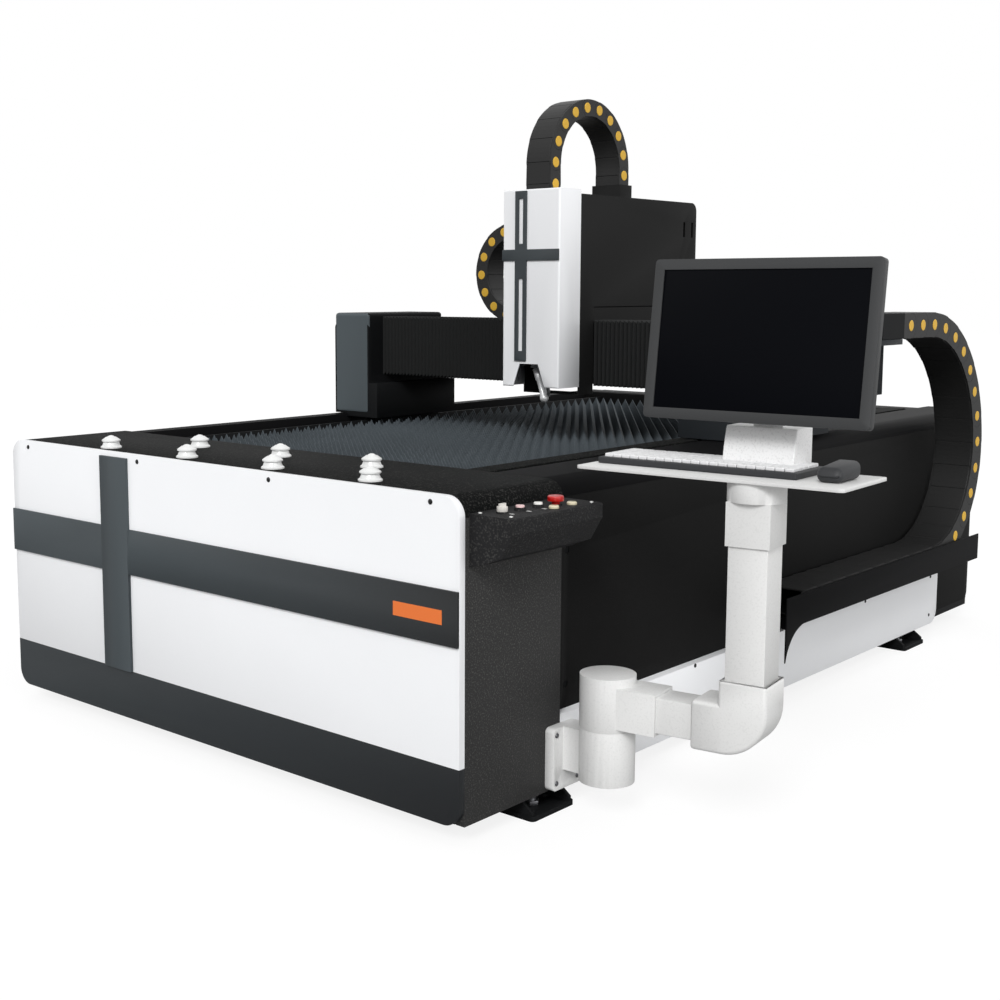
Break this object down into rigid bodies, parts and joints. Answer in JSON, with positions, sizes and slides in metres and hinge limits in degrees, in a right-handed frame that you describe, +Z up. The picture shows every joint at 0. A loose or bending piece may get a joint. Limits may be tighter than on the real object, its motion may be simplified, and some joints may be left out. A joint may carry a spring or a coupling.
{
  "type": "fiber laser cutting machine",
  "caption": "Flatbed fiber laser cutting machine: slatted bed, moving gantry with cutting head, energy chains and an operator's arm with monitor and keyboard.",
  "frame": {"origin": "on the floor, at the centre of the four floor anchor holes", "axes": "+X to the side with the operator's arm, -Y out of the loading front, +Z up"},
  "size_m": [2.1159, 2.54, 1.5573],
  "materials": {
    "frame_black": "satin",
    "bolt_steel": "satin",
    "panel_white": "satin",
    "dark_blue_grey": "satin",
    "blue_grey": "satin",
    "grained_black": "textured",
    "slat_steel": "satin",
    "caster_white": "gloss",
    "lamp_cream": "gloss",
    "chain_black": "matte",
    "arm_white": "satin",
    "bellows_black": "matte",
    "satin_black": "satin",
    "head_aluminium": "satin",
    "keyboard_black": "matte",
    "stand_white": "satin",
    "monitor_grey": "satin",
    "screen_black": "gloss",
    "key_white": "gloss",
    "button_pink": "gloss",
    "button_white": "gloss",
    "stop_red": "gloss"
  },
  "bodies": {
    "bed": {"bed_frame": "frame_black", "feet": "frame_black", "levelling_bolts": "bolt_steel", "front_panel": "panel_white", "kick_panel": "dark_blue_grey", "front_trim": "blue_grey", "corner_skins": "grained_black", "side_skins": "grained_black", "lower_panels": "panel_white", "rear_panel": "grained_black", "front_deck": "grained_black", "pit_ledge": "grained_black", "right_rail_cover": "grained_black", "left_rail_cover": "grained_black", "slats": "slat_steel", "slat_racks": "slat_steel", "scrap_tray": "slat_steel", "long_rails": "bolt_steel", "caster_cups": "caster_white", "console_housing": "grained_black", "pilot_lamps": "lamp_cream", "chain_trough": "grained_black", "long_chain": "chain_black", "arm_base": "arm_white"},
    "gantry": {"gantry_beam": "frame_black", "cross_rails": "bolt_steel", "left_end_housing": "blue_grey", "right_end_housing": "blue_grey", "rail_blocks": "bolt_steel", "bellows_left": "bellows_black", "bellows_right": "bellows_black", "cross_chain": "chain_black"},
    "carriage": {"carriage_plate": "frame_black", "carriage_cover": "satin_black", "head_cover": "panel_white", "head_trim": "blue_grey", "head_chain": "chain_black"},
    "head": {"cutting_head": "head_aluminium"},
    "arm": {"arm_shoulder": "arm_white", "arm_tube": "arm_white", "arm_elbow": "arm_white", "arm_column": "arm_white", "column_sleeve": "arm_white"},
    "desk": {"tray": "arm_white", "keyboard": "keyboard_black", "mouse": "keyboard_black", "monitor_stand": "stand_white"},
    "monitor": {"monitor_housing": "monitor_grey", "monitor_screen": "screen_black"},
    "key": {"key_switch": "key_white"},
    "start": {"start_button": "button_pink"},
    "reset": {"reset_button": "button_white"},
    "stop": {"emergency_stop": "stop_red"},
    "ball_1": {"caster_ball_1": "caster_white"},
    "ball_2": {"caster_ball_2": "caster_white"},
    "ball_3": {"caster_ball_3": "caster_white"},
    "ball_4": {"caster_ball_4": "caster_white"},
    "ball_5": {"caster_ball_5": "caster_white"},
    "ball_6": {"caster_ball_6": "caster_white"},
    "ball_7": {"caster_ball_7": "caster_white"}
  },
  "joints": [
    {"name": "gantry_slide", "type": "slide", "parent": "bed", "child": "gantry", "axis": [0, 1, 0], "range_m": [-0.755, 0.38], "deforming": ["long_chain"]},
    {"name": "carriage_slide", "type": "slide", "parent": "gantry", "child": "carriage", "axis": [1, 0, 0], "range_m": [-0.548, 0.354], "deforming": ["bellows_left", "bellows_right", "cross_chain"]},
    {"name": "head_slide", "type": "slide", "parent": "carriage", "child": "head", "axis": [0, 0, 1], "range_m": [-0.09, 0.03], "deforming": ["head_chain"]},
    {"name": "arm_swivel", "type": "hinge", "parent": "bed", "child": "arm", "pos_m": [0.856, -0.873, 0.188], "axis": [0, 0, 1], "range_deg": [-82, 5]},
    {"name": "tray_swivel", "type": "hinge", "parent": "arm", "child": "desk", "pos_m": [1.14912, -0.8318, 0.703], "axis": [0, 0, 1], "range_deg": [-30, 30]},
    {"name": "monitor_tilt", "type": "hinge", "parent": "desk", "child": "monitor", "pos_m": [1.11846, -0.73441, 0.9063], "axis": [0.9983, 0.0576, 0], "range_deg": [-12, 12]},
    {"name": "key_turn", "type": "hinge", "parent": "bed", "child": "key", "pos_m": [0.791, -1.128, 0.64], "axis": [0, 0, 1], "range_deg": [-45, 45]},
    {"name": "start_press", "type": "slide", "parent": "bed", "child": "start", "axis": [0, 0, 1], "range_m": [-0.003, 0], "stiffness_N_per_m": 300, "springref_m": 0.002},
    {"name": "reset_press", "type": "slide", "parent": "bed", "child": "reset", "axis": [0, 0, 1], "range_m": [-0.003, 0], "stiffness_N_per_m": 300, "springref_m": 0.002},
    {"name": "stop_press", "type": "slide", "parent": "bed", "child": "stop", "axis": [0, 0, 1], "range_m": [-0.005, 0]},
    {"name": "ball_1_roll", "type": "hinge", "parent": "bed", "child": "ball_1", "pos_m": [-0.4, -1.148, 0.69], "axis": [1, 0, 0], "continuous": true},
    {"name": "ball_2_roll", "type": "hinge", "parent": "bed", "child": "ball_2", "pos_m": [-0.11, -1.148, 0.69], "axis": [1, 0, 0], "continuous": true},
    {"name": "ball_3_roll", "type": "hinge", "parent": "bed", "child": "ball_3", "pos_m": [0.18, -1.148, 0.69], "axis": [1, 0, 0], "continuous": true},
    {"name": "ball_4_roll", "type": "hinge", "parent": "bed", "child": "ball_4", "pos_m": [0.47, -1.148, 0.69], "axis": [1, 0, 0], "continuous": true},
    {"name": "ball_5_roll", "type": "hinge", "parent": "bed", "child": "ball_5", "pos_m": [-0.255, -0.996, 0.69], "axis": [1, 0, 0], "continuous": true},
    {"name": "ball_6_roll", "type": "hinge", "parent": "bed", "child": "ball_6", "pos_m": [0.035, -0.996, 0.69], "axis": [1, 0, 0], "continuous": true},
    {"name": "ball_7_roll", "type": "hinge", "parent": "bed", "child": "ball_7", "pos_m": [0.325, -0.996, 0.69], "axis": [1, 0, 0], "continuous": true}
  ]
}
